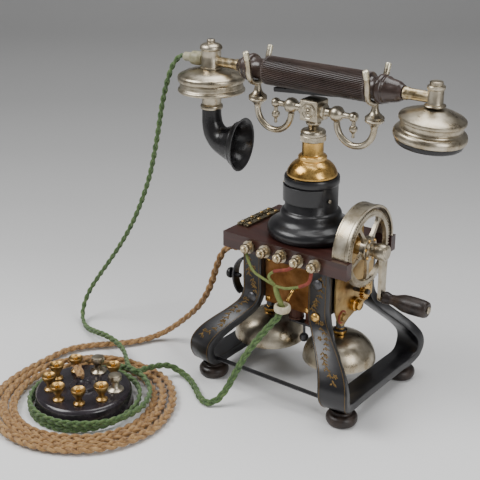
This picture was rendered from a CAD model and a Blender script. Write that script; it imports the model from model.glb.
"""A free-standing crank telephone with its junction box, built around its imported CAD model."""

import math
import random

import bpy
import numpy as np
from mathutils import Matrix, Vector


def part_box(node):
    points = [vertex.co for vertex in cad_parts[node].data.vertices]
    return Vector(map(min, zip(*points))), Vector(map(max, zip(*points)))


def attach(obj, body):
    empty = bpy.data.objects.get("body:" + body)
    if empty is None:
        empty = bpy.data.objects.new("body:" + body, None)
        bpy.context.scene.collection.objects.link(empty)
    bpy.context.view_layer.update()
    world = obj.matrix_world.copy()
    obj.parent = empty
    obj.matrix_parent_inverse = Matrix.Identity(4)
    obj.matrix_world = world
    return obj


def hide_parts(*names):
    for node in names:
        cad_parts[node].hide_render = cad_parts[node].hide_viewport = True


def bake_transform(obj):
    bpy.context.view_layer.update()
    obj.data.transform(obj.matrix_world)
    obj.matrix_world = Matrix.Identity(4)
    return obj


MM = 0.001  # shapes below are written in millimetres, in the frame of the CAD model

# ---------------------------------------------------------------- driving dimensions, as in the CAD
BOARD_TOP = 144.4
BOARD_FRONT = -43.4
HANDSET_Z = 285.5
TRANSMITTER_X = -112.4
RECEIVER_X = 113.1
FORK_X = 59.6
LEFT_WOOD, RIGHT_WOOD = (49, 79), (55, 85)  # where the flutes stop and where the wood stops
RECEIVER_TILT = 6
TILT_PIVOT_Z = 278.6
HORN_TURN = 10
LEG_X, LEG_Y = 35.5, 36.2
LEG_THICK = 8.5
GEAR_Z = 144.4
GEAR_TEETH = 80
GEAR_MODULE = 0.85
GEAR_X = (56.9, 60.9)
CRANK_PIN_Z = 103
GONG_X, GONG_Y = 38.5, -6
JUNCTION_X, JUNCTION_Y = -128.4, -166.5
GREEN_CORD = 6.2
BROWN_CORD = 8.0

CAMERA_PLACE, CAMERA_AIM = (466.2, -713.7, 484.8), (-79.6, 0, 117.7)
CAMERA_LENS = 76.57
SWEEP_TURN = 37.4  # the paper faces the camera
PLAIT_STEP = 1.5  # between stations along a cord
GREEN_PITCH, BROWN_PITCH = 25, 29
CRADLE_Z, CUBE_HALF = 258, 8.75
BROWN_LEAD_OUT = 8  # last rows of the brown turns, kept as drawn

# The paper's grey at distances behind the telephone, in metres.
PAPER_NEAR, PAPER_FAR = -0.3, 2.0
PAPER_GREYS = [(-0.3, 0.95), (0.09, 0.755), (0.16, 0.67), (0.3, 0.55), (0.48, 0.467),
               (0.72, 0.414), (1.04, 0.406), (1.39, 0.465), (2.0, 0.52)]

GREEN_HANGING = [
    (-144.4, -0.1, 285.4), (-148.6, -0.7, 284.9), (-154.7, -3.8, 277), (-160, -6.4, 262),
    (-165.5, -8, 241), (-172.5, -10.3, 203), (-180.7, -13, 166), (-192, -16.6, 133),
    (-203, -20, 108.5), (-215.4, -24, 86), (-228, -28.4, 66), (-239.5, -33, 48),
    (-248.5, -38, 31.5), (-252, -43.5, 17.5), (-249, -50, 8), (-240.5, -57, 4.2),
    (-227, -64.5, 4.6), (-208, -71.5, 9), (-190, -76, 12.4), (-172, -80, 12.9),
    (-154, -88.4, 13.1), (-138, -101, 14.4), (-120.5, -114.6, 16.6),
]
GREEN_RISING = [
    (-112, -117.8, 16.6), (-109, -104.5, 15.4), (-105.6, -92, 13.9), (-100.5, -82, 11),
    (-91.5, -77.4, 6), (-78, -80, 3.6), (-62, -90, 3.6), (-48.5, -99.5, 3.6),
    (-38.5, -102.8, 3.9), (-31.5, -97.5, 6.5), (-27, -89.5, 15.5), (-21.5, -83, 31),
    (-14.5, -75, 50), (-7.5, -67, 64), (-0.5, -59.5, 76), (3.6, -55.2, 82.2),
    (5.8, -52.4, 88.2), (6.5, -51.6, 93.4),
]
BROWN_DROP = [
    (-51, -21, 122.5), (-60, -22, 122.2), (-70, -23.4, 121.2), (-77.5, -24.6, 117.2),
    (-82.8, -25, 109.5), (-88.5, -25, 96), (-95, -25, 77.5), (-101.5, -25, 63.5),
    (-110.5, -25, 49.5), (-121, -25, 37.6), (-132, -25.6, 26.8), (-143, -27, 16.8),
    (-153, -31, 8.8), (-160.5, -39.5, 4.9), (-166, -51, 4.3), (-174, -63.5, 4.3),
    (-187, -77.5, 4.3), (-199.5, -91.5, 4.3), (-208.6, -107.6, 4.3),
]
# Turns round the junction box as (angle in degrees, radius, height).
GREEN_TURNS = [
    (66, 56, 14.8), (40, 59, 13), (10, 59.5, 12.8), (-20, 57, 12.6), (-45, 52, 11.4),
    (-70, 48.6, 10), (-100, 48.2, 9.6), (-130, 48.2, 9.4), (-160, 48.2, 9.2), (-190, 48.2, 9.2),
    (-220, 48.2, 9.4), (-250, 48.2, 9.8), (-280, 48.4, 10), (-310, 49.5, 9.6), (-340, 50, 8.4),
    (-370, 49.4, 6.4), (-400, 48.4, 4.4), (-430, 48, 3.6), (-460, 48, 3.6), (-490, 48, 3.6),
    (-520, 48, 3.6), (-550, 48, 3.6), (-580, 48.4, 4.6), (-605, 50.6, 8.2), (-625, 53, 13),
    (-640, 53, 16),
]
BROWN_TURNS = [
    (160, 88, 4.2), (185, 81.5, 4.2), (210, 80, 4.2), (240, 80, 4.2), (270, 79.6, 4.2),
    (300, 80, 4.2), (330, 80, 4.2), (360, 80, 4.2), (390, 79.4, 4.2), (420, 79, 4.2),
    (450, 78, 4.2), (480, 76, 4.6), (510, 73.6, 6), (540, 72, 5.4), (570, 71.8, 4.4),
    (600, 72, 4.2), (630, 71.6, 4.2), (660, 71.8, 4.2), (690, 71.8, 4.2), (720, 71.4, 4.2),
    (750, 71, 4.2), (780, 70.4, 4.2), (810, 69, 4.2), (840, 67, 4.6), (870, 64.8, 5.4),
    (900, 63.6, 5), (930, 63.4, 4.2), (960, 63.6, 4.2), (990, 63.2, 4.2), (1020, 63.6, 4.2),
    (1050, 63.6, 4.2), (1080, 63.2, 4.2), (1110, 62.8, 4.4), (1140, 62, 5), (1170, 60.5, 7),
    (1196, 56, 12), (1214, 48.5, 19), (1224, 38, 23.4), (1228, 26, 25.6), (1230, 14, 26),
    (1230, 7, 24.4),
]


# ---------------------------------------------------------------- shape helpers, in millimetres
def polar(degrees, radius, height, x=0.0, y=0.0):
    angle = math.radians(degrees)
    return (x + radius * math.cos(angle), y + radius * math.sin(angle), height)


def spline(rows, count):
    """Points on a smooth curve through the rows; any further columns are carried along."""
    p = np.array(rows, float)
    p = np.vstack([2 * p[0] - p[1], p, 2 * p[-1] - p[-2]])
    out = []
    for t in np.linspace(0, len(rows) - 1, count):
        i = min(int(t), len(rows) - 2)
        w = t - i
        a, b, c, d = p[i : i + 4]
        gaps = [max(np.linalg.norm((q - r)[:3]) ** 0.5, 1e-3) for q, r in ((a, b), (b, c), (c, d))]
        d0, d1, d2 = gaps
        m1 = ((b - a) / d0 - (c - a) / (d0 + d1) + (c - b) / d1) * d1
        m2 = ((c - b) / d1 - (d - b) / (d1 + d2) + (d - c) / d2) * d1
        out.append(
            b + m1 * w + (3 * (c - b) - 2 * m1 - m2) * w**2 + (2 * (b - c) + m1 + m2) * w**3
        )
    return np.array(out)


def even(points, step):
    """The same line with its points a step apart."""
    points = np.array(points, float)
    travelled = np.concatenate([[0], np.cumsum(np.linalg.norm(np.diff(points, axis=0), axis=1))])
    at = np.linspace(0, travelled[-1], max(2, round(travelled[-1] / step)))
    return np.stack([np.interp(at, travelled, points[:, k]) for k in range(points.shape[1])], 1)


def frames(points, first=(0, 0, 1)):
    """Tangent, side and lift directions along a line, turned as little as possible."""
    tangents = np.gradient(points, axis=0)
    tangents /= np.linalg.norm(tangents, axis=1)[:, None]
    side = np.cross(tangents[0], first)
    if np.linalg.norm(side) < 0.1:
        side = np.cross(tangents[0], (0, 1, 0))
    sides = []
    for tangent in tangents:
        side = side - tangent * side.dot(tangent)
        side = side / np.linalg.norm(side)
        sides.append(side)
    sides = np.array(sides)
    return tangents, sides, np.cross(sides, tangents)


def skin(rings, closed_ends=True, loop=False):
    """Joins rings of equal point counts into a skin."""
    rings = [np.array(r) for r in rings]
    count = len(rings[0])
    verts = np.vstack(rings)
    faces = []
    last = len(rings) if loop else len(rings) - 1
    for i in range(last):
        j = (i + 1) % len(rings)
        for k in range(count):
            n = (k + 1) % count
            faces.append((i * count + k, i * count + n, j * count + n, j * count + k))
    if closed_ends and not loop:
        faces.append(tuple(range(count))[::-1])
        faces.append(tuple((len(rings) - 1) * count + k for k in range(count)))
    return verts, faces


def tube(points, radius, sides=12):
    points = np.array(points, float)
    radii = np.broadcast_to(np.array(radius, float), len(points))
    _, side, lift = frames(points)
    turn = np.linspace(0, 2 * math.pi, sides, endpoint=False)
    rings = [
        points[i] + radii[i] * (np.outer(np.cos(turn), side[i]) + np.outer(np.sin(turn), lift[i]))
        for i in range(len(points))
    ]
    return skin(rings)


def turned(profile, sides=72, ring=False, knurl=None):
    """A solid of revolution about +Z. The profile runs upwards as (radius, z)."""
    rings = []
    for row, (radius, z) in enumerate(profile):
        turn = np.linspace(0, 2 * math.pi, sides, endpoint=False)
        r = np.full(sides, max(radius, 0.01), float)
        if knurl and knurl[0] <= row <= knurl[1]:
            r -= knurl[2] * (np.arange(sides) % 2)
        rings.append(np.stack([r * np.cos(turn), r * np.sin(turn), np.full(sides, z)], 1))
    return skin(rings, loop=ring)


def prism(outline, low, high):
    """An outline in (x, y) raised from low to high."""
    rings = [[(x, y, z) for x, y in outline] for z in (low, high)]
    return skin(rings)


def block(x0, x1, y0, y1, z0, z1):
    return prism([(x0, y0), (x1, y0), (x1, y1), (x0, y1)], z0, z1)


def band(outer, inner, low, high):
    """A plate between two outlines of equal point counts, raised from low to high."""
    o, i = np.array(outer), np.array(inner)
    level = lambda ring, z: np.column_stack([ring, np.full(len(ring), z)])
    return skin([level(o, low), level(o, high), level(i, high), level(i, low)], loop=True)


def circle(radius, count, start=0.0, end=2 * math.pi, closed=True):
    return [
        (radius * math.cos(a), radius * math.sin(a))
        for a in np.linspace(start, end, count, endpoint=not closed)
    ]


def moved(shape, x=0.0, y=0.0, z=0.0):
    return shape[0] + np.array([x, y, z]), shape[1]


def reshaped(shape, matrix):
    verts = shape[0] @ np.array(matrix, float).T
    flip = np.linalg.det(np.array(matrix, float)) < 0
    return verts, [f[::-1] for f in shape[1]] if flip else shape[1]


def along_x(shape):
    return reshaped(shape, [[0, 0, 1], [0, 1, 0], [-1, 0, 0]])


def along_front(shape):
    return reshaped(shape, [[1, 0, 0], [0, 0, -1], [0, 1, 0]])


def mirror_x(shape):
    return reshaped(shape, [[-1, 0, 0], [0, 1, 0], [0, 0, 1]])


def rotated(shape, axis, degrees):
    a = math.radians(degrees)
    c, s = math.cos(a), math.sin(a)
    matrix = {
        "x": [[1, 0, 0], [0, c, -s], [0, s, c]],
        "y": [[c, 0, s], [0, 1, 0], [-s, 0, c]],
        "z": [[c, -s, 0], [s, c, 0], [0, 0, 1]],
    }[axis]
    return reshaped(shape, matrix)


def merged(*shapes):
    verts, faces, start = [], [], 0
    for v, f in shapes:
        verts.append(v)
        faces += [tuple(i + start for i in face) for face in f]
        start += len(v)
    return np.vstack(verts), faces


# ---------------------------------------------------------------- piece helpers
def soften(mesh, degrees=38):
    mesh.polygons.foreach_set("use_smooth", [True] * len(mesh.polygons))
    mesh.set_sharp_from_angle(angle=math.radians(degrees))


def piece(name, shape, finish, body="base", stands_for=(), bevel=0.0, ride=True):
    """A new shown piece with its finish, riding on a body and standing for CAD nodes."""
    verts, faces = shape
    mesh = bpy.data.meshes.new(name)
    mesh.from_pydata((verts * MM).tolist(), [], faces)
    mesh.update()
    soften(mesh)
    obj = bpy.data.objects.new(name, mesh)
    bpy.context.scene.collection.objects.link(obj)
    mesh.materials.append(FINISHES[finish][0])
    if bevel:
        rounding(obj, bevel)
    if ride:
        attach(obj, body)
    if stands_for:
        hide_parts(*stands_for)
    return obj


def held(name, shape, finish, *nodes):
    """A piece of the handset."""
    return piece(name, shape, finish, body="handset", stands_for=nodes)


def rounding(obj, width):
    edge = obj.modifiers.new("rounding", "BEVEL")
    edge.width = width * MM
    edge.segments = 3
    edge.limit_method = "ANGLE"
    edge.angle_limit = math.radians(40)


def dress(node, finish, bevel=0.0):
    """Gives a CAD node that stays in view its finish and softer edges."""
    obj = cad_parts[node]
    obj.data.materials.clear()
    obj.data.materials.append(FINISHES[finish][0])
    soften(obj.data)
    if bevel:
        rounding(obj, bevel)


# ---------------------------------------------------------------- finishes
def surface(name, tones, grain, metallic=0.0, rough=(0.3, 0.5), stretch=(1, 1, 1), bump=0.1,
            fine=400.0, coat=0.0, sheen=0.0, depth=0.0002):
    """A finish whose colour wanders between tones, with fine variation in gloss and relief."""
    made = bpy.data.materials.new(name)
    made.use_nodes = True
    nodes, links = made.node_tree.nodes, made.node_tree.links
    shader = nodes["Principled BSDF"]
    shader.inputs["Metallic"].default_value = metallic
    shader.inputs["Coat Weight"].default_value = coat
    shader.inputs["Coat Roughness"].default_value = 0.12
    shader.inputs["Sheen Weight"].default_value = sheen
    place = nodes.new("ShaderNodeTexCoord")
    spread = nodes.new("ShaderNodeMapping")
    spread.inputs["Scale"].default_value = stretch
    links.new(place.outputs["Object"], spread.inputs["Vector"])
    broad = nodes.new("ShaderNodeTexNoise")
    broad.inputs["Scale"].default_value = grain
    broad.inputs["Detail"].default_value = 6
    broad.inputs["Roughness"].default_value = 0.62
    links.new(spread.outputs["Vector"], broad.inputs["Vector"])
    ramp = nodes.new("ShaderNodeValToRGB")
    links.new(broad.outputs["Fac"], ramp.inputs["Fac"])
    stops = ramp.color_ramp.elements
    while len(stops) < len(tones):
        stops.new(0.5)
    for i, tone in enumerate(tones):
        stops[i].position = 0.3 + 0.4 * i / (len(tones) - 1)
        stops[i].color = (*tone, 1)
    links.new(ramp.outputs["Color"], shader.inputs["Base Color"])
    small = nodes.new("ShaderNodeTexNoise")
    small.inputs["Scale"].default_value = fine
    small.inputs["Detail"].default_value = 4
    links.new(spread.outputs["Vector"], small.inputs["Vector"])
    gloss = nodes.new("ShaderNodeMapRange")
    gloss.inputs["From Min"].default_value = 0.3
    gloss.inputs["From Max"].default_value = 0.7
    gloss.inputs["To Min"].default_value = rough[0]
    gloss.inputs["To Max"].default_value = rough[1]
    links.new(broad.outputs["Fac"], gloss.inputs["Value"])
    links.new(gloss.outputs["Result"], shader.inputs["Roughness"])
    relief = nodes.new("ShaderNodeBump")
    relief.inputs["Strength"].default_value = bump
    relief.inputs["Distance"].default_value = depth
    links.new(small.outputs["Fac"], relief.inputs["Height"])
    links.new(relief.outputs["Normal"], shader.inputs["Normal"])
    return made


def make_finishes():
    """Each finish's material and the record's slot that it belongs to."""
    return {
        "japan": (surface(
            "japan", [(0.005, 0.005, 0.006), (0.013, 0.012, 0.014)], 60, rough=(0.26, 0.42),
            coat=0.2, bump=0.12), "japan"),
        "gold": (surface(
            "gold_leaf", [(0.11, 0.07, 0.024), (0.24, 0.15, 0.055)], 300, metallic=0.7, rough=(0.4,
            0.65)), "japan"),
        "nickel": (surface(
            "nickel", [(0.24, 0.19, 0.12), (0.44, 0.385, 0.29), (0.62, 0.565, 0.46)], 70,
            metallic=1, rough=(0.22, 0.42), bump=0.14), "nickel"),
        "old_nickel": (surface(
            "old_nickel", [(0.07, 0.06, 0.045), (0.2, 0.175, 0.13)], 120, metallic=1, rough=(0.3,
            0.5), bump=0.16), "nickel"),
        "mottled": (surface(
            "mottled_tube", [(0.17, 0.115, 0.055), (0.42, 0.335, 0.2), (0.62, 0.56, 0.44)], 190,
            metallic=1, rough=(0.26, 0.5), bump=0.2), "nickel"),
        "pale_tip": (surface(
            "pale_tip", [(0.62, 0.55, 0.38), (0.84, 0.79, 0.62)], 120, metallic=0.7, rough=(0.22,
            0.38)), "nickel"),
        "brass": (surface(
            "brass", [(0.36, 0.2, 0.055), (0.66, 0.4, 0.12), (0.76, 0.5, 0.19)], 80, metallic=1,
            rough=(0.16, 0.36), bump=0.1), "brass"),
        "pale_brass": (surface(
            "pale_brass", [(0.34, 0.26, 0.15), (0.56, 0.47, 0.32), (0.7, 0.62, 0.47)], 90,
            metallic=1, rough=(0.2, 0.4), bump=0.1), "brass"),
        "old_brass": (surface(
            "old_brass", [(0.2, 0.115, 0.04), (0.42, 0.26, 0.09), (0.54, 0.36, 0.15)], 90,
            metallic=1, rough=(0.28, 0.46), bump=0.14), "brass"),
        "gilt": (surface(
            "gilt_brass", [(0.2, 0.12, 0.045), (0.42, 0.28, 0.11), (0.56, 0.4, 0.2)], 90,
            metallic=1, rough=(0.26, 0.5), bump=0.16), "gilt_brass"),
        "bronze": (surface(
            "bronze", [(0.09, 0.08, 0.055), (0.2, 0.17, 0.11), (0.34, 0.29, 0.19)], 150, metallic=1,
            rough=(0.3, 0.55), bump=0.2), "gilt_brass"),
        "copper": (surface(
            "copper", [(0.1, 0.04, 0.016), (0.22, 0.1, 0.035), (0.32, 0.17, 0.07)], 60, metallic=1,
            rough=(0.24, 0.46), bump=0.16), "copper"),
        "mahogany": (surface(
            "mahogany", [(0.014, 0.005, 0.004), (0.038, 0.012, 0.009), (0.062, 0.021, 0.016)], 40,
            rough=(0.26, 0.42), stretch=(0.25, 3, 3), coat=0.2, fine=300), "mahogany"),
        "dark_wood": (surface(
            "dark_wood", [(0.009, 0.006, 0.005), (0.026, 0.016, 0.012), (0.058, 0.037, 0.026)], 90,
            rough=(0.3, 0.55), stretch=(1, 1, 0.4), bump=0.25), "dark_wood"),
        "handle": (surface(
            "turned_handle", [(0.018, 0.011, 0.009), (0.044, 0.027, 0.022), (0.074, 0.047, 0.036)],
            50, rough=(0.24, 0.42), stretch=(0.5, 2, 2), coat=0.2, bump=0.12), "dark_wood"),
        "ebonite": (surface(
            "ebonite", [(0.006, 0.006, 0.007), (0.014, 0.012, 0.013)], 70, rough=(0.2, 0.4),
            bump=0.1), "ebonite"),
        "disc": (surface(
            "polished_disc", [(0.016, 0.013, 0.016), (0.034, 0.027, 0.034)], 60, rough=(0.16, 0.32),
            coat=0.3, bump=0.1), "ebonite"),
        "steel": (surface(
            "steel", [(0.05, 0.05, 0.052), (0.16, 0.16, 0.17)], 80, metallic=1, rough=(0.32, 0.55),
            bump=0.2), "steel"),
        "wire": (surface(
            "covered_wire", [(0.05, 0.014, 0.008), (0.14, 0.045, 0.02)], 300, rough=(0.5, 0.75),
            stretch=(1, 1, 6), bump=0.5), "covered_wire"),
        "bone": (surface(
            "bone", [(0.36, 0.3, 0.17), (0.62, 0.56, 0.4), (0.74, 0.7, 0.56)], 120, rough=(0.35,
            0.55)), "bone"),
        "old_bone": (surface(
            "old_bone", [(0.17, 0.155, 0.09), (0.32, 0.3, 0.19), (0.44, 0.42, 0.3)], 120,
            rough=(0.35, 0.55)), "bone"),
        "green": (surface(
            "green_cotton", [(0.025, 0.06, 0.016), (0.07, 0.13, 0.036), (0.13, 0.19, 0.066)], 260,
            rough=(0.75, 0.95), bump=0.8, fine=1400, sheen=0.3, depth=0.0004), "green_braid"),
        "brown": (surface(
            "brown_cotton", [(0.12, 0.055, 0.016), (0.32, 0.175, 0.062), (0.45, 0.28, 0.12)], 260,
            rough=(0.75, 0.95), bump=0.8, fine=1400, sheen=0.3, depth=0.0004), "brown_braid"),
        "lead": (surface(
            "green_lead", [(0.1, 0.13, 0.03), (0.24, 0.28, 0.09)], 300, rough=(0.7, 0.9), bump=0.5,
            fine=1200), "green_braid"),
        "red_wrap": (surface(
            "red_wrap", [(0.13, 0.02, 0.012), (0.3, 0.06, 0.035)], 300, rough=(0.6, 0.85), bump=0.5,
            fine=1200), "covered_wire"),
    }


# ---------------------------------------------------------------- camera, light and floor
def make_camera():
    data = bpy.data.cameras.new("camera")
    data.lens = CAMERA_LENS
    data.sensor_width = 36
    data.clip_end = 20
    camera = bpy.data.objects.new("camera", data)
    camera.location = Vector(CAMERA_PLACE) * MM
    aim = Vector(CAMERA_AIM) * MM
    camera.rotation_mode = "QUATERNION"
    camera.rotation_quaternion = (aim - camera.location).to_track_quat("-Z", "Y")
    bpy.context.scene.collection.objects.link(camera)
    bpy.context.scene.camera = camera


def add_light(name, place, aim, size, power, colour=(1, 1, 1)):
    data = bpy.data.lights.new(name, "AREA")
    data.shape = "RECTANGLE"
    data.size, data.size_y = size
    data.energy = power
    data.color = colour
    light = bpy.data.objects.new(name, data)
    light.location = place
    light.rotation_mode = "QUATERNION"
    light.rotation_quaternion = (Vector(aim) - Vector(place)).to_track_quat("-Z", "Y")
    bpy.context.scene.collection.objects.link(light)


def shaded_paper():
    """Matt grey paper that darkens with distance behind the telephone."""
    made = bpy.data.materials.new("paper_sweep")
    made.use_nodes = True
    nodes, links = made.node_tree.nodes, made.node_tree.links
    place = nodes.new("ShaderNodeTexCoord")
    parts = nodes.new("ShaderNodeSeparateXYZ")
    links.new(place.outputs["Object"], parts.inputs["Vector"])
    reach = nodes.new("ShaderNodeMapRange")
    reach.inputs["From Min"].default_value = PAPER_NEAR
    reach.inputs["From Max"].default_value = PAPER_FAR
    links.new(parts.outputs["Y"], reach.inputs["Value"])
    ramp = nodes.new("ShaderNodeValToRGB")
    links.new(reach.outputs["Result"], ramp.inputs["Fac"])
    stops = ramp.color_ramp.elements
    while len(stops) < len(PAPER_GREYS):
        stops.new(0.5)
    for stop, (y, grey) in zip(stops, PAPER_GREYS):
        stop.position = (y - PAPER_NEAR) / (PAPER_FAR - PAPER_NEAR)
        stop.color = (grey, grey, grey, 1)
    shader = nodes["Principled BSDF"]
    shader.inputs["Roughness"].default_value = 0.85
    links.new(ramp.outputs["Color"], shader.inputs["Base Color"])
    return made


def make_studio():
    world = bpy.data.worlds.new("studio")
    world.use_nodes = True
    world.node_tree.nodes["Background"].inputs["Color"].default_value = (0.86, 0.86, 0.86, 1)
    world.node_tree.nodes["Background"].inputs["Strength"].default_value = 0.26
    bpy.context.scene.world = world
    add_light("key", (-0.75, -0.7, 1.25), (-0.05, 0, 0.12), (0.9, 0.7), 18)
    add_light("fill", (1.2, -0.35, 0.75), (0, 0, 0.12), (0.6, 0.9), 8)
    add_light("top", (0.05, 0.25, 1.4), (0, -0.05, 0), (0.9, 0.9), 12)
    steps = [(y, 0.0) for y in np.linspace(-2.2, 1.7, 14)]
    steps += [(1.7 + math.sin(a), 1 - math.cos(a)) for a in np.linspace(0.1, 1.57, 14)]
    steps += [(2.7, 3.2)]
    rings = [[(-4, y, z), (4, y, z)] for y, z in steps]
    verts = [p for ring in rings for p in ring]
    faces = [(2 * i, 2 * i + 1, 2 * i + 3, 2 * i + 2) for i in range(len(rings) - 1)]
    mesh = bpy.data.meshes.new("sweep")
    mesh.from_pydata(verts, [], faces)
    soften(mesh, 60)
    sweep = bpy.data.objects.new("sweep", mesh)
    bpy.context.scene.collection.objects.link(sweep)
    sweep.rotation_euler = (0, 0, math.radians(SWEEP_TURN))
    mesh.materials.append(shaded_paper())


# ---------------------------------------------------------------- cords
def braid(points, diameter, pitch, width=0.3, thick=0.15, strand=0.225):
    """Three plaited strands laid along a line."""
    line = even(points, PLAIT_STEP)
    _, side, lift = frames(line)
    travelled = np.arange(len(line)) * PLAIT_STEP
    strands = []
    for i in range(3):
        phase = 2 * math.pi * (travelled / pitch + i / 3)
        out = np.sin(phase)[:, None] * side * width * diameter
        up = np.sin(2 * phase)[:, None] * lift * thick * diameter
        strands.append(tube(line + out + up, strand * diameter, sides=8))
    return merged(*strands), line


def add_green_cord():
    turns = [polar(a, r, z, JUNCTION_X, JUNCTION_Y) for a, r, z in GREEN_TURNS]
    route = spline(GREEN_HANGING + turns + GREEN_RISING, 1400)
    shape, line = braid(route, GREEN_CORD, GREEN_PITCH)
    cord = piece("green_plait", shape, "green", ride=False,
                 stands_for=("green_cord_hanging", "green_coil", "green_cord_rising"))
    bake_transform(cord)


def add_brown_cord():
    rng = random.Random(5)
    last = len(BROWN_TURNS) - BROWN_LEAD_OUT
    turns = []
    for i, (angle, radius, height) in enumerate(BROWN_TURNS):
        if 1 < i < last:
            radius += rng.uniform(-0.9, 0.9)
            height += rng.uniform(0, 1.6)
        turns.append(polar(angle, radius, height, JUNCTION_X, JUNCTION_Y))
    route = spline(BROWN_DROP + turns, 1500)
    shape, line = braid(route, BROWN_CORD, BROWN_PITCH)
    cord = piece("brown_plait", shape, "brown", stands_for=("brown_cord", "brown_coil"))


def add_junction_box():
    disc = turned([(43.4, 0), (44, 0.6), (44, 3), (43.2, 4), (42.8, 4.6), (42.8, 14.8), (42.4, 15.6),
                   (40.6, 17.5), (39.6, 17.8), (14, 17.8), (12.6, 18), (11.8, 20.2), (11, 21.1),
                   (6.6, 21.2), (5.6, 19.6)], 120)
    piece("junction_disc", moved(disc, JUNCTION_X, JUNCTION_Y), "disc",
          stands_for=("junction_box",), bevel=0.2)
    brass_post = turned([(5.2, 17.6), (5.2, 19.4), (4.4, 19.8), (3, 21), (2.8, 23.4), (3.2, 24.6),
                         (5.6, 28.6), (6.5, 31.2), (6.5, 32.4), (6.1, 32.8), (4.6, 31.6),
                         (1.9, 30.8), (1.7, 33.4), (0.9, 34)], 40)
    nickel_post = turned([(7.6, 17.6), (7.4, 18.8), (4.4, 20.4), (3.4, 22), (3.4, 26.4), (4.6, 27),
                          (5.9, 28.4), (6.1, 31.4), (5.6, 32.8), (4, 33.4), (0.2, 33.6)], 48)
    brass, nickel = [], []
    for i in range(9):
        x, y, _ = polar(40 * i - 12, 29.5, 0, JUNCTION_X, JUNCTION_Y)
        if i in (1, 3):
            nickel.append(moved(nickel_post, x, y))
        else:
            brass.append(moved(brass_post, x, y))
    piece("junction_posts_brass", merged(*brass), "old_brass")
    piece("junction_posts_nickel", merged(*nickel), "nickel")


# ---------------------------------------------------------------- base
MAGNET_FRONT = [
    (LEG_X, -LEG_Y, 129.6, 20, 0), (LEG_X, -LEG_Y, 104, 20, 0), (35.7, -36.4, 90, 20, 0),
    (39.1, -39, 79, 20.6, 3), (47.5, -46, 68.5, 22, 6), (57.7, -54.2, 58.5, 24, 9),
    (66.5, -61.8, 48.6, 26, 11), (71.1, -66.6, 39.8, 27, 12), (72.1, -67.4, 31.4, 27, 12),
    (71.9, -63.8, 23.6, 25, 9), (71.7, -55.2, 19.3, 22, 4), (71.5, -32.2, 19, 21, 0),
]


def magnet_stations():
    """Middle, across and outward directions, width and distance along the right magnet."""
    rear = [(x, -y, z, width, -turn) for x, y, z, width, turn in MAGNET_FRONT][::-1]
    rows = spline(MAGNET_FRONT + [(71.5, 0, 19, 21, 0)] + rear, 150)
    tangents = np.gradient(rows[:, :3], axis=0)
    tangents /= np.linalg.norm(tangents, axis=1)[:, None]
    turn = np.radians(rows[:, 4])
    across = np.stack([np.cos(turn), np.sin(turn), np.zeros(len(rows))], 1)
    outward = np.cross(tangents, across)
    outward /= np.linalg.norm(outward, axis=1)[:, None]
    steps = np.linalg.norm(np.diff(rows[:, :3], axis=0), axis=1)
    return rows, across, outward, np.concatenate([[0], np.cumsum(steps)])


def magnet_shape(stations):
    rows, across, outward, _ = stations
    half = LEG_THICK / 2
    rings = []
    for i, row in enumerate(rows):
        w = row[3] / 2
        section = []
        for cx, cy, start in ((1, 1, 0), (-1, 1, 90), (-1, -1, 180), (1, -1, 270)):
            for a in (0, 30, 60, 90):
                angle = math.radians(start + a)
                section.append((cx * (w - 1.2) + 1.2 * math.cos(angle),
                                cy * (half - 1.2) + 1.2 * math.sin(angle)))
        rings.append([row[:3] + across[i] * u + outward[i] * v for u, v in section])
    return skin(rings)


def on_magnet(stations, s, u, lift=0.1):
    """A point on the outer face of the magnet, s along it and u across it."""
    rows, across, outward, travelled = stations
    pick = lambda table: np.array([np.interp(s, travelled, table[:, k]) for k in range(3)])
    return pick(rows) + pick(across) * u + pick(outward) * (LEG_THICK / 2 + lift)


def leaf(stations, s, u, length, width, heading):
    """A pointed leaf lying on the magnet."""
    outline = []
    for t in np.linspace(0, 2 * math.pi, 14, endpoint=False):
        a = length / 2 * math.cos(t)
        b = width / 2 * math.sin(t) * (1 - 0.45 * math.cos(t))
        outline.append(on_magnet(stations, s + a * math.cos(heading) - b * math.sin(heading),
                                 u + a * math.sin(heading) + b * math.cos(heading)))
    return np.array(outline), [tuple(range(len(outline)))]


def stripe(stations, start, end, offset, width):
    """A thin painted line along the magnet, at a distance from its edge."""
    rows, _, _, travelled = stations
    rings = []
    for s in np.arange(start, end, 1.5):
        half = np.interp(s, travelled, rows[:, 3]) / 2 - abs(offset)
        u = math.copysign(half, offset)
        rings.append([on_magnet(stations, s, u - width / 2), on_magnet(stations, s, u + width / 2)])
    verts = np.array(rings).reshape(-1, 3)
    faces = [(2 * i, 2 * i + 1, 2 * i + 3, 2 * i + 2) for i in range(len(rings) - 1)]
    return verts, faces


def magnet_ornament(stations, seed):
    """Sprays of leaves and small flowers, between two thin lines."""
    rng = random.Random(seed)
    total = stations[3][-1]
    shapes = [stripe(stations, 2, total - 2, side * 1.9, 0.5) for side in (-1, 1)]
    for first, last in ((6, 105), (total - 105, total - 6)):
        s = first
        while s < last:
            u = 4.4 * math.sin(s / 8) + rng.uniform(-0.8, 0.8)
            shapes.append(leaf(stations, s, u, rng.uniform(3.6, 5.6), 1.7, rng.uniform(-0.5, 0.5)))
            for side in (-1, 1):
                shapes.append(leaf(stations, s + rng.uniform(0, 1.5), u + side * rng.uniform(1.6, 2.6),
                                   rng.uniform(2.4, 4), 1.3, side * rng.uniform(0.5, 1.2)))
            s += rng.uniform(4.2, 6)
        for s in np.arange(first + 8, last, 17):
            u = 4 * math.sin(s / 8 + 2)
            for k in range(5):
                a = math.radians(72 * k)
                shapes.append(leaf(stations, s + 1.5 * math.cos(a), u + 1.5 * math.sin(a), 2.2, 1.5, a))
    return merged(*shapes)


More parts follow.
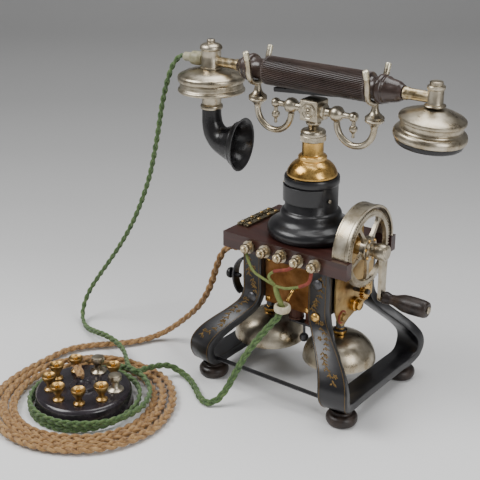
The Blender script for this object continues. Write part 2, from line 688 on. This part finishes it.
def add_magnets():
    stations = magnet_stations()
    shape = magnet_shape(stations)
    for side, mirror, seed in (("right", lambda s: s, 3), ("left", mirror_x, 8)):
        piece(f"leg_{side}", mirror(shape), "japan", stands_for=(f"magnet_{side}",))
        ornament = piece(f"leg_ornament_{side}", mirror(magnet_ornament(stations, seed)), "gold")
        gild = ornament.modifiers.new("gilding", "SOLIDIFY")
        gild.thickness = 0.15 * MM
    screw = turned([(4.6, 0), (4.6, 0.8), (3.8, 1.8), (2, 2.4), (0.2, 2.5)], 40)
    face = along_front(screw)
    piece("leg_bolt_left", moved(face, -34.5, -40.8, 86.6), "steel")
    button = along_front(turned([(4.4, 0), (4.6, 0.8), (4, 2.2), (2.4, 3.2), (0.2, 3.5)], 40))
    piece("leg_button_right", moved(button, 34.5, -40.8, 86.6), "brass")
    piece("leg_screw_right", moved(face, LEG_X, -40.6, 118), "steel")


def add_feet():
    bun = turned([(p[0], p[1]) for p in spline(
        [(10.1, 0, 0), (12.4, 1, 0), (13.6, 3.2, 0), (14, 5.6, 0), (13.5, 8, 0), (11.6, 10, 0),
         (9.2, 11, 0), (8.5, 12.2, 0), (9.6, 13.6, 0), (10.2, 14.3, 0)], 34)], 72)
    for name in ("front_left", "front_right", "rear_left", "rear_right"):
        low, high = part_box(f"foot_{name}")
        middle = (low + high) / 2 / MM
        piece(f"bun_{name}", moved(bun, middle.x, middle.y), "dark_wood",
              stands_for=(f"foot_{name}",))


def add_board():
    dress("top_board", "mahogany", bevel=0.9)
    dress("front_cover", "copper", bevel=0.3)
    dress("rear_cover", "copper", bevel=0.3)
    dress("side_plate_left", "gilt", bevel=0.3)
    dress("side_plate_right", "gilt", bevel=0.3)
    for node in ("pole_piece_front", "pole_piece_rear", "armature", "ringer_frame", "clapper"):
        dress(node, "steel")
    dress("pinion", "brass")
    dress("tie_rod", "japan")
    for node in ("induction_coil", "ringer_coil_left", "ringer_coil_right"):
        dress(node, "wire")
    head = turned([(2.4, 0), (2.4, 0.6), (1.9, 1.3), (0.2, 1.6)], 28)
    places = [(x, -33.9, z) for x in (-21, 21) for z in (87, 125)]
    piece("cover_screws", merged(*[moved(along_front(head), *p) for p in places]), "brass")
    bolt = along_x(turned([(5.2, 0), (5.2, 1), (3.8, 1.2), (3.8, 2.8), (3.2, 3.6), (0.2, 3.8)], 6))
    piece("plate_bolt", moved(bolt, 48.5, -20, 83), "gilt", bevel=0.2)
    washer = along_x(turned([(6.2, 0), (6.2, 0.6), (0.2, 0.6)], 40))
    piece("plate_washer", moved(washer, 48.3, -20, 83), "red_wrap")
    boss = along_x(turned([(6.6, 0), (6.6, 3), (5, 3.6), (5, 6.6), (4.2, 7.2), (0.2, 7.4)], 48))
    piece("bearing_boss", moved(boss, 48.4, 0, 88.5), "brass", bevel=0.2)


def add_column():
    body = turned([(29, 144.7), (36.4, 144.7), (38, 146.4), (38.9, 149.2), (38.8, 152), (37.6, 154.4),
                   (35.4, 156.2), (32.4, 157.6), (30.2, 159.2), (28.6, 161.4), (27.6, 163.4),
                   (27.4, 165.6), (26.6, 167.2), (25.4, 168.4), (24.2, 168.9), (23.7, 169.6),
                   (23.7, 192.4), (24.3, 193), (24.6, 194), (24.6, 198.6), (24, 199.8), (17, 200)], 128)
    piece("column_body", body, "japan", stands_for=("column",))
    half = math.radians(57)
    arc = lambda r: circle(r, 40, -math.pi / 2 - half, -math.pi / 2 + half, closed=False)
    rings = [[(*a, z) for z in (177.2, 192.2)] + [(*b, z) for z in (192.2, 177.2)]
             for a, b in zip(arc(25.4), arc(23.9))]
    piece("column_panel", skin(rings), "japan", stands_for=("column_door",), bevel=0.35)
    head = along_x(turned([(1.7, 0), (1.7, 0.5), (1.2, 1.1), (0.2, 1.3)], 24))
    white = [rotated(moved(head, 25.2, 0, z), "z", a) for a, z in ((-18, 181.6), (-162, 189.6))]
    piece("panel_screws", merged(*white), "nickel")
    dome_rows = [(22.4, 200.5, 0), (22.2, 202.4, 0), (21.2, 205, 0), (19.2, 208.2, 0),
                 (16.4, 211, 0), (13.2, 213, 0), (12.2, 213.8, 0)]
    dome = [(r, z) for r, z, _ in spline(dome_rows, 26)]
    dome += [(12.7, 214.4), (12.7, 217), (11.6, 218), (9.9, 218.6), (9.5, 220), (9.4, 230)]
    piece("brass_dome", turned(dome, 96), "brass", stands_for=("column_dome",))
    nut = [(9.6, 230.3), (11.2, 231), (11.3, 235.4), (10.7, 235.8), (11, 236.4), (10.9, 239),
           (10, 240.4), (8.4, 241.1), (4.8, 241.1)]
    piece("stem_nut", turned(nut, 96, knurl=(1, 2, 0.45)), "nickel", stands_for=("ring_nut",))


def add_arrester():
    """Two facing combs with square notches and small round-headed screws."""
    top = BOARD_TOP + 0.3
    for name, edge, back in (("outer", -59.2, -64.6), ("inner", -57.6, -52.2)):
        outline, y = [(back, -24), (edge, -24)], -24
        inward = math.copysign(1.8, back - edge)
        while y < 24:
            outline += [(edge, y + 2.6), (edge + inward, y + 2.6), (edge + inward, y + 4.4),
                        (edge, y + 4.4)]
            y += 5
        outline += [(edge, 26), (back, 26)]
        if name == "inner":
            outline.reverse()
        piece(f"comb_{name}", prism(outline, top, top + 2), "bronze",
              stands_for=(f"arrester_{name}",), bevel=0.2)
    head = turned([(1.8, 0), (1.8, 0.4), (1.3, 1), (0.2, 1.2)], 24)
    spots = [(x, y, top + 2) for x in (-62.4, -54.2) for y in (-18, -4, 11, 22)]
    piece("comb_screws", merged(*[moved(head, *p) for p in spots]), "gilt")


def add_terminals():
    post = turned([(5.4, 0), (5.6, 0.8), (5.2, 1.8), (3.4, 2.4), (3, 3.2), (3, 5), (3.8, 5.4),
                   (4.4, 6.2), (4.4, 8.8), (3.9, 9.4), (2.7, 9.6), (2.5, 11.4), (1.8, 12), (0.2, 12)],
                  48, knurl=(7, 8, 0.3))
    washer = turned([(5.9, 0), (5.9, 0.8), (0.2, 0.9)], 48)
    for i in range(5):
        x = (i - 2) * 17.5
        piece(f"binding_post_{i + 1}", moved(along_front(post), x, BOARD_FRONT - 0.3, 137), "pale_brass",
              stands_for=(f"terminal_{i + 1}",))
    plates = [moved(along_front(washer), (i - 2) * 17.5, BOARD_FRONT - 2.4, 137) for i in range(5)]
    piece("terminal_washers", merged(*plates), "nickel")


def add_wheel_guard():
    def hoop(outer, inner, x0, x1):
        o = circle(outer, 80, 0, math.pi, closed=False)
        i = circle(inner, 80, 0, math.pi, closed=False)
        rings = [[(x0, a[0], a[1]), (x1, a[0], a[1]), (x1, b[0], b[1]), (x0, b[0], b[1])]
                 for a, b in zip(o, i)]
        return moved(skin(rings), 0, 0, BOARD_TOP + 0.3)

    wide = hoop(38.4, 36.8, 47, 59.4)
    lip = hoop(39, 36.8, 59.8, 62.3)
    edge = hoop(38.8, 36.8, 47, 48.6)
    piece("guard_hoop", merged(wide, lip, edge), "nickel", stands_for=("wheel_guard",), bevel=0.3)


def add_ringer():
    rows = [(33.3, 34.4, 0), (33.1, 37, 0), (31.8, 42.4, 0), (28.6, 48.4, 0), (22.6, 54, 0),
            (14, 57.6, 0), (6, 59.2, 0), (3.6, 59.4, 0)]
    outside = [(r, z) for r, z, _ in spline(rows, 36)]
    inside = [(max(r - 1.6, 3.6), z - 1.4) for r, z in outside[::-1]]
    inside[-1] = (31.7, 34.4)
    gong = turned(outside + inside, 96, ring=True)
    nut = turned([(6.4, 59.8), (6.6, 62.4), (5, 63.2), (4.2, 64.6), (2.6, 65.6), (0.2, 66)], 40)
    for side, sign in (("left", -1), ("right", 1)):
        piece(f"bell_{side}", moved(gong, sign * GONG_X, GONG_Y), "nickel",
              stands_for=(f"gong_{side}",))
        piece(f"bell_nut_{side}", moved(nut, sign * GONG_X, GONG_Y), "brass")


def add_leads():
    """The bone ring that grips the green cord, its hook, and the leads fanning out of it."""
    hook = spline([(10, -35, 104.4), (10.4, -37.8, 106), (10.2, -41.8, 105), (9, -44.4, 101),
                   (7.6, -45.2, 96.4)], 40)
    piece("ring_hook", tube(hook, 1.5), "brass", stands_for=("cord_hook",))
    eye = turned([(5, 88.4), (6.6, 88.2), (7.4, 89.6), (7.6, 91.4), (7.4, 93.2), (6.6, 94.6),
                  (5, 94.4)], 56, ring=True)
    piece("cord_eye", moved(eye, 6.5, -51.6), "bone", stands_for=("cord_ring",))
    rows = [(6.5, -51.6, 91), (5.4, -53, 97), (2, -53.4, 104), (-0.5, -52.5, 111)]
    bundle = tube(spline(rows, 30), 2.4)
    branches = [
        [(-0.5, -52.5, 111), (-10, -53.2, 114), (-24, -53, 119), (-30, -52, 126), (-35, -50, 134)],
        [(-0.5, -52.5, 111), (-6.8, -54, 118.7), (-2, -54, 124.8), (12, -52, 130), (17.5, -50, 134)],
        [(-0.5, -52.5, 111), (13, -54, 113), (34, -53, 124), (35, -50, 134)],
    ]
    leads, wraps = [bundle], []
    for i, rows in enumerate(branches):
        route = spline(rows, 60)
        split = 60 if i == 0 else 32
        leads.append(tube(route[:split], 1.3, 10))
        if split < len(route):
            wraps.append(tube(route[split - 2:], 1.55, 10))
    piece("leads", merged(*leads), "lead")
    piece("lead_wraps", merged(*wraps), "red_wrap")


def add_side_key():
    line = spline([(-46.6, 0, 121), (-49.4, 0, 119.4), (-54.6, 0, 112), (-57, 0, 102.5),
                   (-55.6, 0, 93), (-52, 0, 87.4), (-49, 0, 85.8)], 60)
    tangents, _, _ = frames(line)
    out = np.stack([-tangents[:, 2], np.zeros(len(line)), tangents[:, 0]], 1) * 0.8
    rings = [[line[i] + out[i] + (0, -LEG_Y - 4.5, 0), line[i] + out[i] + (0, -LEG_Y + 4.5, 0),
              line[i] - out[i] + (0, -LEG_Y + 4.5, 0), line[i] - out[i] + (0, -LEG_Y - 4.5, 0)]
             for i in range(len(line))]
    piece("key_strap", skin(rings), "steel", stands_for=("side_strap",), bevel=0.2)
    key = turned([(2, 0), (2, 9.2), (4, 9.5), (5, 10.4), (5.1, 12), (4.4, 13.4), (2.6, 14.2),
                  (0.2, 14.4)], 48)
    piece("push_key", moved(rotated(along_x(key), "z", 180), -51.2, -LEG_Y, 101.5), "ebonite",
          body="side_key", stands_for=("side_key",))


# ---------------------------------------------------------------- crank and gears
def add_drive_gear():
    pitch = GEAR_TEETH * GEAR_MODULE / 2
    root, tip = pitch - 1.25 * GEAR_MODULE, pitch + 0.9 * GEAR_MODULE
    outer, inner = [], []
    for k in range(GEAR_TEETH):
        for share, radius in ((-0.32, root), (-0.12, tip), (0.12, tip), (0.32, root)):
            a = 2 * math.pi * (k + share) / GEAR_TEETH
            outer.append((radius * math.cos(a), radius * math.sin(a)))
            inner.append((29 * math.cos(a), 29 * math.sin(a)))
    rim = along_x(band(outer, inner, *GEAR_X))
    lip = along_x(turned([(28.2, 57.4), (30.4, 57.2), (30.6, 61.3), (28.8, 61.3)], 120, ring=True))
    hub = along_x(turned([(10.9, 57), (10.9, 62), (10.3, 62.5), (7.6, 62.8), (7.2, 63.6),
                          (6, 64), (6, 68.2), (0.2, 68.2)], 72))
    spokes = []
    for i in range(5):
        outline = [(-3.4, 9), (-1.9, 14), (-1.7, 25), (-3.4, 29.4), (3.4, 29.4), (1.7, 25),
                   (1.9, 14), (3.4, 9)]
        bar = along_x(prism(outline, 57.4, 60.6))
        spokes.append(rotated(bar, "x", -90 + 72 * i))
    wheel = moved(merged(rim, lip, hub, *spokes), 0, 0, GEAR_Z)
    piece("spoked_gear", wheel, "nickel", body="crank", stands_for=("drive_gear",), bevel=0.15)
    screw = along_x(turned([(1.5, 62.3), (1.5, 63), (1.1, 63.4), (0.2, 63.5)], 20))
    heads = [rotated(moved(screw, 0, 0, 8.9), "x", 60 * i + 20) for i in range(6)]
    piece("gear_screws", moved(merged(*heads), 0, 0, GEAR_Z), "brass", body="crank")


def add_crank():
    hub = along_x(turned([(6.4, 68.6), (7.2, 69.4), (7.4, 70.6), (7.4, 77.4), (6.9, 78.4),
                          (5.4, 78.6), (5.2, 79.3), (0.2, 79.4)], 64))
    shaft = along_x(turned([(3.5, 46.8), (3.5, 69)], 32))
    low = CRANK_PIN_Z - GEAR_Z
    outline = [(-5.2, 0)] + [(-4.2, low * 0.6), (-4.3, low + 2)]
    outline += [(4.6 * math.cos(a), low + 4.6 * math.sin(a))
                for a in np.linspace(math.pi, 2 * math.pi, 14)]
    outline += [(4.3, low + 2), (4.2, low * 0.6), (5.2, 0)]
    rings = [[(x, y, z) for y, z in outline] for x in (73.4, 76.9)]
    arm = skin(rings)
    pin = moved(along_x(turned([(1.9, 75), (1.9, 120.9), (3.3, 121), (3.1, 121.8), (2, 122.2),
                                (0.2, 122.3)], 28)), 0, 0, low)
    crank = moved(merged(hub, shaft, arm, pin), 0, 0, GEAR_Z)
    piece("crank_lever", crank, "nickel", body="crank", stands_for=("crank_arm",), bevel=0.3)
    rows = [(5.2, 78, 0), (5.7, 79.4, 0), (5.3, 82, 0), (4.6, 84.4, 0), (4.8, 88.6, 0),
            (6.2, 93, 0), (7.4, 97, 0), (7.9, 102, 0), (7.9, 112, 0), (7.5, 117.6, 0),
            (6.6, 120, 0), (5.4, 120.6, 0), (2.3, 120.5, 0)]
    grip = turned([(r, z) for r, z, _ in spline(rows, 60)], 64)
    piece("crank_grip", moved(along_x(grip), 0, 0, CRANK_PIN_Z), "dark_wood",
          body="crank_handle", stands_for=("crank_handle",))


# ---------------------------------------------------------------- cradle
def add_cradle():
    z, half = CRADLE_Z, CUBE_HALF
    stem = turned([(4.3, 196), (4.3, 243), (5, 244.3), (6.3, 245.4), (6.7, 246.4), (6.7, 247.4),
                   (6, 248.2), (5, 248.6), (5, 252)], 48)
    cube = block(-half, half, -half, half, z - half, z + half)
    cap_rows = [(11.8, z + half - 0.1), (11.8, z + half + 0.7), (9, z + half + 1.7), (5, z + half + 2.4),
                (3.4, z + half + 2.5)]
    cap = rotated(turned(cap_rows, 4), "z", 45)
    side_rows = [(5.6, 8), (6.8, 9.6), (6.9, 11.4), (5.4, 12.4), (3.9, 12.9), (3.7, 17.2),
                 (4.8, 18.4), (6.4, 20.6), (7, 23.4), (6.4, 26.2), (4.6, 28.2), (3.3, 29.2),
                 (2.7, 30.4), (2.5, 35.6), (3.2, 36.8), (4.1, 38.2), (4.4, 39.8), (4.1, 41.4),
                 (3, 42.8), (0.2, 43.6)]
    pendant = turned([(0.2, 239.4), (1.5, 240.2), (1.2, 243), (1.9, 244.4), (3.3, 245.8), (3.8, 247.6),
                      (3.3, 249.4), (1.9, 250.4), (1.7, 256)], 40)
    right = merged(moved(along_x(turned(side_rows, 48)), 0, 0, z), moved(pendant, 39.8))
    piece("cradle_boss", merged(stem, cube, right, mirror_x(right)), "nickel", body="cradle",
          stands_for=("cradle_hub",), bevel=0.5)
    piece("cradle_cap", cap, "old_nickel", body="cradle", bevel=0.3)
    rosette = turned([(7.2, 0), (7.2, 0.5), (6.4, 0.7), (5.8, 0.2), (5, 0.2), (4.4, 0.9), (3.4, 0.9),
                      (2.8, 0.3), (1.9, 0.4), (1.2, 1.2), (0.2, 1.4)], 56)
    faces = [rotated(moved(along_front(rosette), 0, -half, z), "z", a) for a in (0, 90, 180, 270)]
    piece("cradle_rosettes", merged(*faces), "nickel", body="cradle")


def add_forks():
    bulb = moved(turned([(2.8, 250.6), (3.2, 252.8), (4.6, 254.8), (6.6, 256.4), (7.4, 257),
                         (8.2, 258), (8.3, 259), (7.7, 259.6), (8.3, 260.4), (8, 261.6), (6.2, 263),
                         (4.4, 264.6), (3.6, 266.4), (2.9, 269), (2.8, 272.8)], 64), FORK_X)
    bend = [(FORK_X - 18.1 + 18.1 * math.cos(a), 0, 251.2 + 18.1 * math.sin(a))
            for a in np.linspace(math.pi, 2 * math.pi, 48)]
    arm = tube(bend, 2.8, 20)
    prong_rows = [(-18.3, 302.2), (-15.4, 294.4), (-14.2, 288), (-13.6, 282.4), (-10.6, 276.7),
                  (-5.2, 273.9), (0, 273), (5.2, 273.9), (10.6, 276.7), (13.6, 282.4), (14.2, 288),
                  (15.4, 294.4), (18.3, 302.2)]
    prongs = spline([(FORK_X, y, z) for y, z in prong_rows], 90)
    tips = []
    for sign in (-1, 1):
        tip = tube(spline([(FORK_X, sign * 16, 296), (FORK_X, sign * 17.1, 299),
                           (FORK_X, sign * 18.4, 302.4), (FORK_X, sign * 18.8, 303.4)], 14),
                   [2.55] * 10 + [2.4, 2, 1.4, 0.5], 20)
        tips.append(tip)
    fork = merged(bulb, arm, tube(prongs, 2.5, 20))
    for side, mirror in (("right", lambda s: s), ("left", mirror_x)):
        piece(f"fork_bow_{side}", mirror(fork), "nickel", body="cradle",
              stands_for=(f"fork_{side}",))
        piece(f"fork_tips_{side}", mirror(merged(*tips)), "pale_tip", body="cradle")


# ---------------------------------------------------------------- handset
def handle_shape():
    """A fluted barrel: each flute climbs towards +X on the front."""
    flutes, radius, per_flute = 40, 12.7, 8
    climb = math.tan(math.radians(22)) / radius
    turn = np.linspace(0, 2 * math.pi, flutes * per_flute, endpoint=False)
    rings = []
    def end_rows(half, end):
        rows = [(6.2, end), (6.6, end - 1), (8.4, end - 4), (10.2, 73), (11.3, 70.6), (10.9, 68.6),
                (12, 67.4), (12.5, 65.4), (11.8, 63.4), (9.9, 62.4), (9.8, half + 1.4),
                (11.8, half + 0.2), (12.5, half - 0.4)]
        return [(r, x) for r, x, _ in spline([(r, x, 0) for r, x in rows], 46)]

    left, right = -LEFT_WOOD[0] + 1, RIGHT_WOOD[0] - 1
    rows = [(r, -x, 0) for r, x in end_rows(*LEFT_WOOD)]
    rows += [(radius, x, 1) for x in np.linspace(left, right, 60)]
    rows += [(r, x, 0) for r, x in end_rows(*RIGHT_WOOD)[::-1]]
    for r, x, fluted in rows:
        depth = 1.0 * min(1, (min(x - left, right - x) + 0.5) / 1.5) if fluted else 0
        wave = 0.5 + 0.5 * np.cos(flutes * turn)
        angle = turn + climb * x
        rr = r - depth * wave**1.6
        rings.append(np.stack([np.full(len(turn), x), -rr * np.cos(angle), rr * np.sin(angle)], 1))
    return moved(skin(rings), 0, 0, HANDSET_Z)


def add_handle():
    held("fluted_handle", handle_shape(), "handle", "handle_grip")
    lever = rotated(block(-72, 0, -3, 3, -2, 2), "y", -4.4)
    piece("press_lever", moved(lever, 31, 0, 275.4), "ebonite", body="talk_lever",
          stands_for=("talk_lever",), bevel=0.6)


def tilted(shape):
    """The receiver's pieces lean a little, about a point under their post."""
    lean = rotated(moved(shape, 0, 0, -TILT_PIVOT_Z), "y", RECEIVER_TILT)
    return moved(lean, RECEIVER_X, 0, TILT_PIVOT_Z)


def add_handset_ends():
    left_tube = along_x(turned([(4.5, TRANSMITTER_X), (4.6, -84), (5.3, -83),
                                (5.3, -80), (4.4, -79.2)], 40))
    left_post = turned([(10.2, 278.7), (10.2, 280), (9.3, 280.5), (9.1, 281.2), (9.1, 288), (8.7, 289.2),
                        (9.1, 290.4), (9.1, 295.2), (9.8, 295.8), (10.3, 296.4), (10.3, 297.6),
                        (9.6, 299.4), (7.4, 300.9), (4.6, 301.6), (3.7, 302), (3.7, 304.2), (3, 304.9),
                        (0.2, 305.2)], 64)
    held("left_post", moved(left_post, TRANSMITTER_X), "nickel", "transmitter_post")
    held("left_sleeve", moved(left_tube, 0, 0, HANDSET_Z), "mottled")
    right_tube = along_x(turned([(4.4, 85.2), (5.3, 86), (5.3, 89), (4.6, 90), (4.5, RECEIVER_X)], 40))
    right_post = turned([(8.6, 278.9), (8.8, 279.6), (8.4, 280.3), (6.6, 280.9), (6.3, 282),
                         (6.3, 292.2), (7, 292.6), (7.3, 293.2),
                         (7.3, 295), (6.6, 295.8), (5.4, 296), (5.4, 298.6),
                         (4.6, 299.1), (0.2, 299.2)], 64)
    held("right_post", moved(right_post, RECEIVER_X), "nickel", "receiver_post")
    held("right_sleeve", moved(right_tube, 0, 0, HANDSET_Z), "mottled")
    case = turned([(9.4, 241), (10.2, 241.4), (10.4, 242.4), (10.4, 244.2), (9.9, 245), (8.9, 246),
                   (8.9, 253.4), (9.6, 255.6), (11, 257), (13.4, 257.3), (29.8, 257.3), (30.7, 257.8),
                   (31, 258.8), (30.9, 259.8), (30.2, 260.6), (29.3, 261), (28.9, 261.6), (29.2, 262.9),
                   (28.8, 263.9), (29.1, 265), (28.8, 266.2), (29.4, 267.1), (30.5, 267.4), (31, 268.4),
                   (31, 271.2), (30.4, 272.4), (28.6, 273.6), (25, 274.9), (24.4, 275.5), (20, 276.8),
                   (11.6, 278.2), (10.6, 278.5)], 112)
    held("transmitter_capsule", moved(case, TRANSMITTER_X), "nickel", "transmitter_case")
    case = turned([(27.9, 251.5), (29.4, 252.4), (30, 254), (30, 255.8), (29.4, 257.8), (28.6, 258.8),
                   (26.4, 259.5), (25.5, 260.2), (25.2, 261.2), (25.7, 262.2), (25.3, 263.4),
                   (25.7, 264.6), (25.6, 266), (26.4, 266.6), (27.2, 267.2), (27.4, 268.4),
                   (27.1, 269.8), (25.6, 271), (20, 273.4), (10.6, 276.8), (8, 277.6)], 112)
    held("receiver_capsule", tilted(case), "nickel", "receiver_case")
    cap = turned([(24.4, 246.6), (26.2, 247.1), (27.3, 248.1), (27.8, 249.5), (27.8, 251.3)], 96)
    held("listening_cap", tilted(cap), "ebonite", "ear_cap")
    nipple = turned([(3.9, -143.3), (4.1, -142.4), (4.2, -135.2), (5.4, -134.4), (6.3, -133.2),
                     (6.4, -131), (6.4, -125.8), (5.8, -124.4), (4.6, -122)], 48)
    held("cord_nipple", moved(along_x(nipple), 0, 0, HANDSET_Z), "old_bone", "cord_bushing")


def add_horn():
    rows = [(0, 240.7, 0, 8.8), (0, 234, 0, 9), (0.8, 226, 0, 9.7), (4, 218.2, 0, 11),
            (9.6, 213.2, 0, 12.8), (16.6, 211.1, 0, 15.2), (23.2, 210.5, 0, 18.4),
            (28, 210.4, 0, 22), (31.5, 210.3, 0, 25)]
    path = spline(rows, 56)
    middle = np.stack([path[:, 0], np.zeros(len(path)), path[:, 1]], 1)
    radii = path[:, 3].copy()
    _, side, lift = frames(middle, (0, 1, 0))
    turn = np.linspace(0, 2 * math.pi, 72, endpoint=False)

    def ring(i, shrink):
        r = radii[i] - shrink
        return middle[i] + r * (np.outer(np.cos(turn), side[i]) + np.outer(np.sin(turn), lift[i]))

    bead = lambda i: -0.9 * math.exp(-(((i - 44) / 1.4) ** 2))
    last = len(path) - 1
    rings = [ring(i, bead(i)) for i in range(len(path))]
    rings += [ring(last, s) for s in (0.5, 1.7)]
    rings += [ring(last - k, 2.1) for k in range(1, last)]
    horn = rotated(skin(rings, loop=True), "z", HORN_TURN)
    held("mouth_horn", moved(horn, TRANSMITTER_X), "ebonite", "horn")


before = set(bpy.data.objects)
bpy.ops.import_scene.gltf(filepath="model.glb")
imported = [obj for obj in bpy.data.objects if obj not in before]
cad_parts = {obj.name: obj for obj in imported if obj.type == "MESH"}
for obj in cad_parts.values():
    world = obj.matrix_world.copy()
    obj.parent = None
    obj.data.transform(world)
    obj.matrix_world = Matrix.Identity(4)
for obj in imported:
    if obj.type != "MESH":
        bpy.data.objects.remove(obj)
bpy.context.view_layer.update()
FINISHES = make_finishes()
make_camera()
make_studio()
add_junction_box()
add_green_cord()
add_brown_cord()
add_magnets()
add_feet()
add_board()
add_column()
add_arrester()
add_terminals()
add_wheel_guard()
add_ringer()
add_leads()
add_side_key()
add_drive_gear()
add_crank()
add_cradle()
add_forks()
add_handle()
add_handset_ends()
add_horn()
